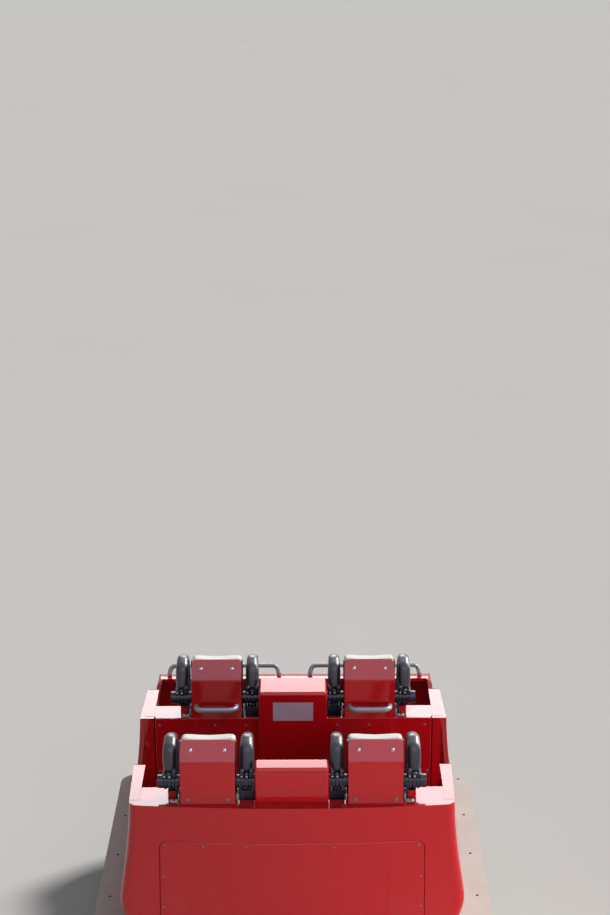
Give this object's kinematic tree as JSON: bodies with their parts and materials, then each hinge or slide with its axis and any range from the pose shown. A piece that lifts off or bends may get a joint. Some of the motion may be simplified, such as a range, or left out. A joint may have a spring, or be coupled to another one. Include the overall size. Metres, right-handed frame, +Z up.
{
  "type": "roller coaster car",
  "caption": "Steel roller coaster car with two rows of two seats, over-the-shoulder restraints, side reaction plates and wheel carriers that grip tubular rails.",
  "frame": {"origin": "on the ground under the middle of the car's bounding box", "axes": "+X right, +Y forward along the rails, +Z up"},
  "size_m": [2.46, 2.988, 1.9154],
  "materials": {
    "car_paint": "clear-coated deep red",
    "frame_paint": "satin dark grey",
    "tube_paint": "satin blue-grey",
    "fin_metal": "bare, dull",
    "blank_plate": "brushed",
    "seat_plastic": "grained",
    "seat_foam": "skinned foam",
    "arm_foam": "skinned foam",
    "pivot_paint": "satin navy",
    "wheel_tread": "smooth cast tread"
  },
  "bodies": {
    "car": {"chassis_frame": "frame_paint", "axles": "frame_paint", "wheel_carriers": "frame_paint", "floor_pan": "frame_paint", "front_cowl": "car_paint", "left_side_panel": "car_paint", "right_side_panel": "car_paint", "bulkhead_panel": "car_paint", "rear_panel": "car_paint", "rear_hatch": "car_paint", "front_console": "car_paint", "rear_console": "car_paint", "blank_placard": "blank_plate", "front_seat_shells": "car_paint", "rear_seat_shells": "car_paint", "front_seat_buckets": "seat_plastic", "rear_seat_buckets": "seat_plastic", "front_left_pad": "seat_foam", "front_right_pad": "seat_foam", "rear_left_pad": "seat_foam", "rear_right_pad": "seat_foam", "seat_brackets": "fin_metal", "back_handles": "tube_paint", "grab_bars": "tube_paint", "reaction_plates": "fin_metal", "restraint_pivots": "pivot_paint", "front_coupling": "frame_paint", "rear_coupling": "frame_paint"},
    "front_left_restraint": {"front_left_restraint": "frame_paint", "front_left_arm_pads": "arm_foam"},
    "front_left_running_wheel": {"front_left_running_wheel": "wheel_tread"},
    "front_left_side_wheel": {"front_left_side_wheel": "wheel_tread"},
    "front_left_upstop_wheel": {"front_left_upstop_wheel": "wheel_tread"},
    "front_right_restraint": {"front_right_restraint": "frame_paint", "front_right_arm_pads": "arm_foam"},
    "front_right_running_wheel": {"front_right_running_wheel": "wheel_tread"},
    "front_right_side_wheel": {"front_right_side_wheel": "wheel_tread"},
    "front_right_upstop_wheel": {"front_right_upstop_wheel": "wheel_tread"},
    "rear_left_restraint": {"rear_left_restraint": "frame_paint", "rear_left_arm_pads": "arm_foam"},
    "rear_left_running_wheel": {"rear_left_running_wheel": "wheel_tread"},
    "rear_left_side_wheel": {"rear_left_side_wheel": "wheel_tread"},
    "rear_left_upstop_wheel": {"rear_left_upstop_wheel": "wheel_tread"},
    "rear_right_restraint": {"rear_right_restraint": "frame_paint", "rear_right_arm_pads": "arm_foam"},
    "rear_right_running_wheel": {"rear_right_running_wheel": "wheel_tread"},
    "rear_right_side_wheel": {"rear_right_side_wheel": "wheel_tread"},
    "rear_right_upstop_wheel": {"rear_right_upstop_wheel": "wheel_tread"}
  },
  "joints": [
    {"name": "front_left_restraint_hinge", "type": "hinge", "parent": "car", "child": "front_left_restraint", "pos_m": [-0.489, 0.088, 1.656], "axis": [1, 0, 0], "range_deg": [0, 70]},
    {"name": "front_left_running_wheel_turn", "type": "hinge", "parent": "car", "child": "front_left_running_wheel", "pos_m": [-0.55, 0.76, 0.426], "axis": [1, 0, 0], "continuous": true},
    {"name": "front_left_side_wheel_turn", "type": "hinge", "parent": "car", "child": "front_left_side_wheel", "pos_m": [-0.711, 0.995, 0.196], "axis": [0, 0, 1], "continuous": true},
    {"name": "front_left_upstop_wheel_turn", "type": "hinge", "parent": "car", "child": "front_left_upstop_wheel", "pos_m": [-0.55, 0.76, 0.065], "axis": [1, 0, 0], "continuous": true},
    {"name": "front_right_restraint_hinge", "type": "hinge", "parent": "car", "child": "front_right_restraint", "pos_m": [0.489, 0.088, 1.656], "axis": [1, 0, 0], "range_deg": [0, 70]},
    {"name": "front_right_running_wheel_turn", "type": "hinge", "parent": "car", "child": "front_right_running_wheel", "pos_m": [0.55, 0.76, 0.426], "axis": [1, 0, 0], "continuous": true},
    {"name": "front_right_side_wheel_turn", "type": "hinge", "parent": "car", "child": "front_right_side_wheel", "pos_m": [0.711, 0.995, 0.196], "axis": [0, 0, 1], "continuous": true},
    {"name": "front_right_upstop_wheel_turn", "type": "hinge", "parent": "car", "child": "front_right_upstop_wheel", "pos_m": [0.55, 0.76, 0.065], "axis": [1, 0, 0], "continuous": true},
    {"name": "rear_left_restraint_hinge", "type": "hinge", "parent": "car", "child": "rear_left_restraint", "pos_m": [-0.489, -1.005, 1.656], "axis": [1, 0, 0], "range_deg": [0, 70]},
    {"name": "rear_left_running_wheel_turn", "type": "hinge", "parent": "car", "child": "rear_left_running_wheel", "pos_m": [-0.55, -0.76, 0.426], "axis": [1, 0, 0], "continuous": true},
    {"name": "rear_left_side_wheel_turn", "type": "hinge", "parent": "car", "child": "rear_left_side_wheel", "pos_m": [-0.711, -0.995, 0.196], "axis": [0, 0, 1], "continuous": true},
    {"name": "rear_left_upstop_wheel_turn", "type": "hinge", "parent": "car", "child": "rear_left_upstop_wheel", "pos_m": [-0.55, -0.76, 0.065], "axis": [1, 0, 0], "continuous": true},
    {"name": "rear_right_restraint_hinge", "type": "hinge", "parent": "car", "child": "rear_right_restraint", "pos_m": [0.489, -1.005, 1.656], "axis": [1, 0, 0], "range_deg": [0, 70]},
    {"name": "rear_right_running_wheel_turn", "type": "hinge", "parent": "car", "child": "rear_right_running_wheel", "pos_m": [0.55, -0.76, 0.426], "axis": [1, 0, 0], "continuous": true},
    {"name": "rear_right_side_wheel_turn", "type": "hinge", "parent": "car", "child": "rear_right_side_wheel", "pos_m": [0.711, -0.995, 0.196], "axis": [0, 0, 1], "continuous": true},
    {"name": "rear_right_upstop_wheel_turn", "type": "hinge", "parent": "car", "child": "rear_right_upstop_wheel", "pos_m": [0.55, -0.76, 0.065], "axis": [1, 0, 0], "continuous": true}
  ]
}
